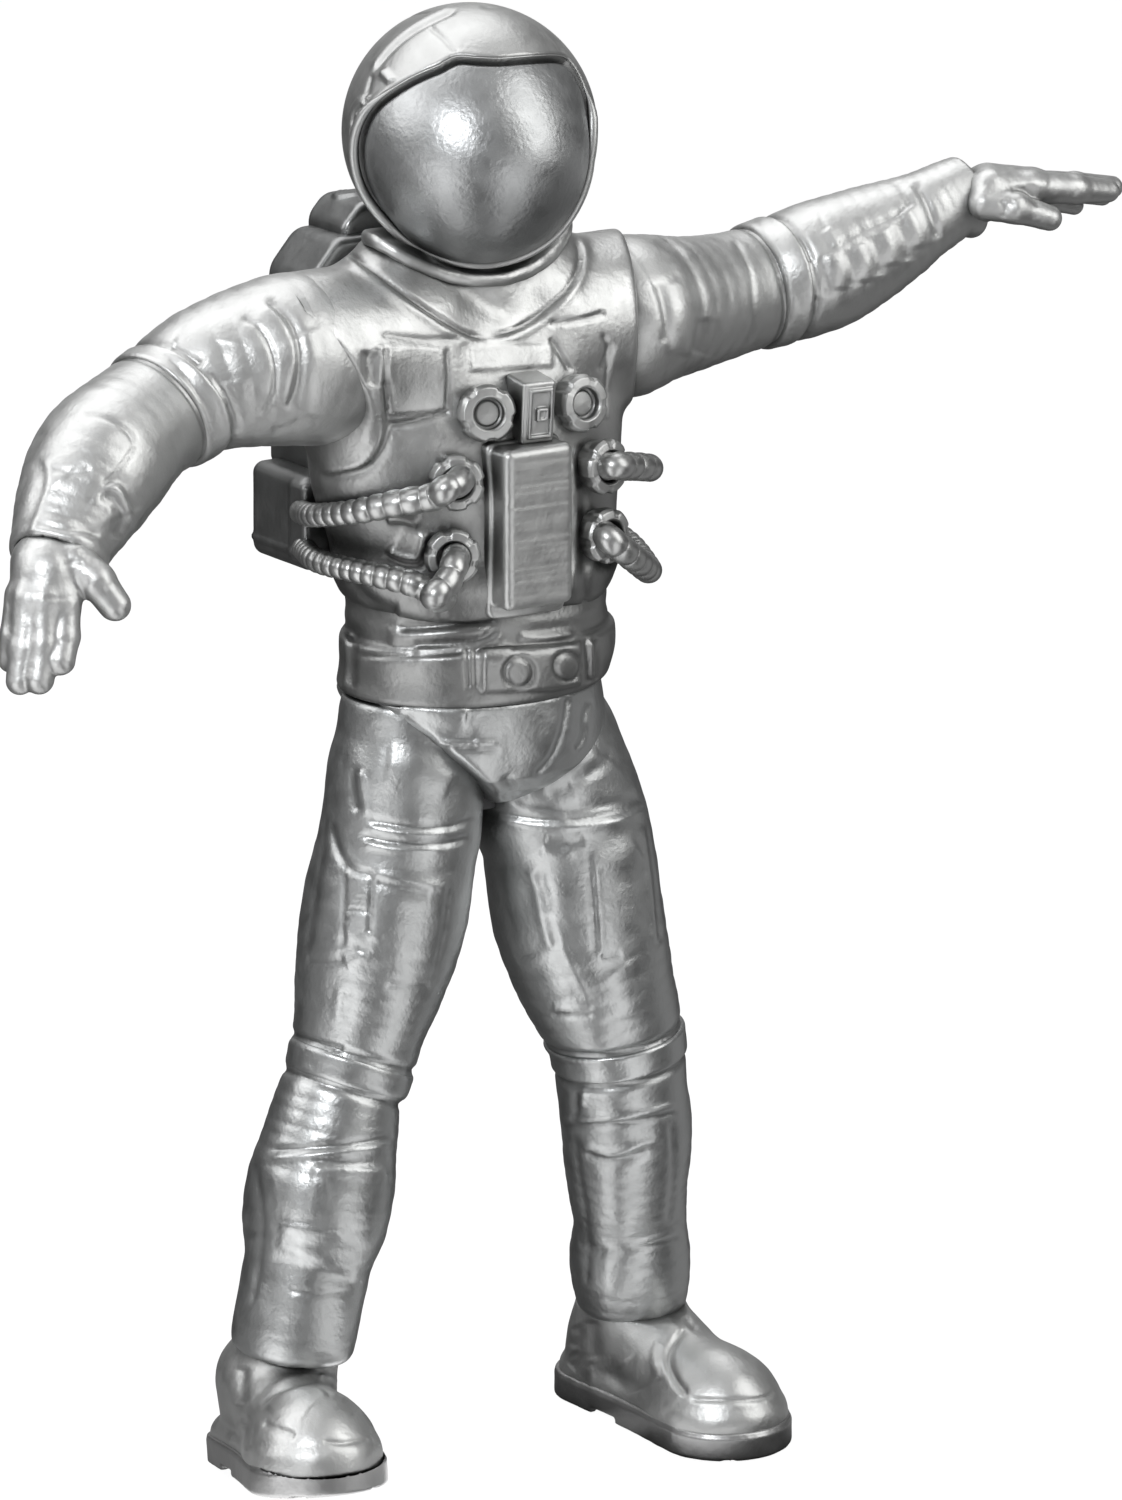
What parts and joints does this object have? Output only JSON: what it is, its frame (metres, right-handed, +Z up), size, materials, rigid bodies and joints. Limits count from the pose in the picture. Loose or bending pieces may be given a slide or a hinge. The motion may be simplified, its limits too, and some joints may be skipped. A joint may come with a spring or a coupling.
{
  "type": "poseable astronaut figure",
  "caption": "Silver poseable toy astronaut figure: pinned skeleton in moulded suit sections, dome helmet with bulging visor, chest unit, hoses, backpack and boots.",
  "frame": {"origin": "on the floor, at the bottom centre of the whole figure's box; the figure's mid plane is at x = -0.007", "axes": "+Z up along the body, -Y the way the figure faces, +X the figure's left"},
  "size_m": [0.159, 0.0512, 0.1769],
  "materials": {
    "silver_suit": "soft vinyl sprayed with metallic silver paint, fine orange-peel",
    "silver_hard": "moulded plastic sprayed with metallic silver paint",
    "silver_visor": "smooth dome sprayed with metallic silver paint, opaque",
    "silver_hose": "ribbed flexible hose, silver paint",
    "silver_sole": "moulded sole, silver paint",
    "frame_plastic": "dark grey acetal skeleton",
    "steel_pin": "drawn steel wire pins"
  },
  "bodies": {
    "pelvis": {"hip_frame": "frame_plastic", "trouser_seat": "silver_suit"},
    "torso": {"chest_frame": "frame_plastic", "jacket": "silver_suit", "belt": "silver_suit", "belt_buckle": "silver_hard", "chest_panel": "silver_hard", "chest_valve": "silver_hard", "dial_r": "silver_hard", "dial_l": "silver_hard", "hose_fittings": "silver_hose", "hose_upper_r": "silver_hose", "hose_lower_r": "silver_hose", "hose_upper_l": "silver_hose", "hose_lower_l": "silver_hose", "backpack_lower": "silver_hard", "backpack_main": "silver_hard", "backpack_top": "silver_hard", "collar_ring": "silver_suit"},
    "neck": {"neck_post": "frame_plastic", "nod_pin": "steel_pin"},
    "head": {"helmet_shell": "silver_hard", "visor": "silver_visor", "visor_rim": "silver_hard"},
    "shoulder_r": {"shoulder_hub_r": "frame_plastic", "shoulder_pin_r": "steel_pin"},
    "upper_arm_r": {"upper_arm_core_r": "frame_plastic", "upper_sleeve_r": "silver_suit", "elbow_band_r": "silver_suit"},
    "forearm_r": {"forearm_core_r": "frame_plastic", "lower_sleeve_r": "silver_suit", "elbow_pin_r": "steel_pin"},
    "hand_r": {"glove_r": "silver_suit"},
    "thigh_r": {"thigh_core_r": "frame_plastic", "thigh_suit_r": "silver_suit", "knee_band_r": "silver_suit"},
    "shin_r": {"shin_core_r": "frame_plastic", "shin_suit_r": "silver_suit", "knee_pin_r": "steel_pin"},
    "foot_r": {"boot_r": "silver_suit", "sole_r": "silver_sole", "ankle_pin_r": "steel_pin"},
    "shoulder_l": {"shoulder_hub_l": "frame_plastic", "shoulder_pin_l": "steel_pin"},
    "upper_arm_l": {"upper_arm_core_l": "frame_plastic", "upper_sleeve_l": "silver_suit", "elbow_band_l": "silver_suit"},
    "forearm_l": {"forearm_core_l": "frame_plastic", "lower_sleeve_l": "silver_suit", "elbow_pin_l": "steel_pin"},
    "hand_l": {"glove_l": "silver_suit"},
    "thigh_l": {"thigh_core_l": "frame_plastic", "thigh_suit_l": "silver_suit", "knee_band_l": "silver_suit"},
    "shin_l": {"shin_core_l": "frame_plastic", "shin_suit_l": "silver_suit", "knee_pin_l": "steel_pin"},
    "foot_l": {"boot_l": "silver_suit", "sole_l": "silver_sole", "ankle_pin_l": "steel_pin"}
  },
  "joints": [
    {"name": "waist_turn", "type": "hinge", "parent": "pelvis", "child": "torso", "pos_m": [-0.007, 0.00383, 0.1], "axis": [0, 0, 1], "range_deg": [-35, 35]},
    {"name": "neck_turn", "type": "hinge", "parent": "torso", "child": "neck", "pos_m": [-0.007, 0.00283, 0.14], "axis": [0, 0, 1], "range_deg": [-60, 60]},
    {"name": "neck_nod", "type": "hinge", "parent": "neck", "child": "head", "pos_m": [-0.007, 0.00283, 0.1612], "axis": [1, 0, 0], "range_deg": [-8, 8]},
    {"name": "shoulder_swing_r", "type": "hinge", "parent": "torso", "child": "shoulder_r", "pos_m": [-0.0285, 0.00483, 0.1362], "axis": [-1, 0, 0], "range_deg": [-40, 60]},
    {"name": "shoulder_raise_r", "type": "hinge", "parent": "shoulder_r", "child": "upper_arm_r", "pos_m": [-0.0285, 0.00483, 0.1362], "axis": [0.1265, 0.9916, 0.0277], "range_deg": [-29, 35]},
    {"name": "elbow_bend_r", "type": "hinge", "parent": "upper_arm_r", "child": "forearm_r", "pos_m": [-0.0472, 0.00733, 0.1321], "axis": [-0.248, -0.4383, 0.8639], "range_deg": [-25, 27]},
    {"name": "wrist_turn_r", "type": "hinge", "parent": "forearm_r", "child": "hand_r", "pos_m": [-0.0673, -0.00357, 0.1208], "axis": [-0.7881, -0.4274, -0.443], "range_deg": [-60, 60]},
    {"name": "hip_swing_r", "type": "hinge", "parent": "pelvis", "child": "thigh_r", "pos_m": [-0.0171, 0.00383, 0.085], "axis": [-1, 0, 0], "range_deg": [-22, 32]},
    {"name": "knee_bend_r", "type": "hinge", "parent": "thigh_r", "child": "shin_r", "pos_m": [-0.0262, 0.00383, 0.0458], "axis": [0.9741, 0, -0.2261], "range_deg": [-2, 58]},
    {"name": "boot_pitch_r", "type": "hinge", "parent": "shin_r", "child": "foot_r", "pos_m": [-0.0345, 0.00183, 0.0146], "axis": [-0.995, 0.1, 0], "range_deg": [-16, 5]},
    {"name": "shoulder_swing_l", "type": "hinge", "parent": "torso", "child": "shoulder_l", "pos_m": [0.0155, 0.00483, 0.1363], "axis": [-1, 0, 0], "range_deg": [-40, 60]},
    {"name": "shoulder_raise_l", "type": "hinge", "parent": "shoulder_l", "child": "upper_arm_l", "pos_m": [0.0155, 0.00483, 0.1363], "axis": [0.1109, -0.9938, 0.0005], "range_deg": [-29, 35]},
    {"name": "elbow_bend_l", "type": "hinge", "parent": "upper_arm_l", "child": "forearm_l", "pos_m": [0.0379, 0.00733, 0.1364], "axis": [0.0804, -0.692, -0.7174], "range_deg": [-25, 27]},
    {"name": "wrist_turn_l", "type": "hinge", "parent": "forearm_l", "child": "hand_l", "pos_m": [0.0625, 0.00003, 0.1462], "axis": [0.8956, -0.2658, 0.3568], "range_deg": [-60, 60]},
    {"name": "hip_swing_l", "type": "hinge", "parent": "pelvis", "child": "thigh_l", "pos_m": [0.0031, 0.00383, 0.085], "axis": [-1, 0, 0], "range_deg": [-22, 32]},
    {"name": "knee_bend_l", "type": "hinge", "parent": "thigh_l", "child": "shin_l", "pos_m": [0.0117, -0.00117, 0.0425], "axis": [0.9723, 0.1499, 0.1791], "range_deg": [-12, 58]},
    {"name": "boot_pitch_l", "type": "hinge", "parent": "shin_l", "child": "foot_l", "pos_m": [0.0164, 0.00383, 0.0128], "axis": [-0.995, -0.1, 0], "range_deg": [-14, 12]}
  ]
}
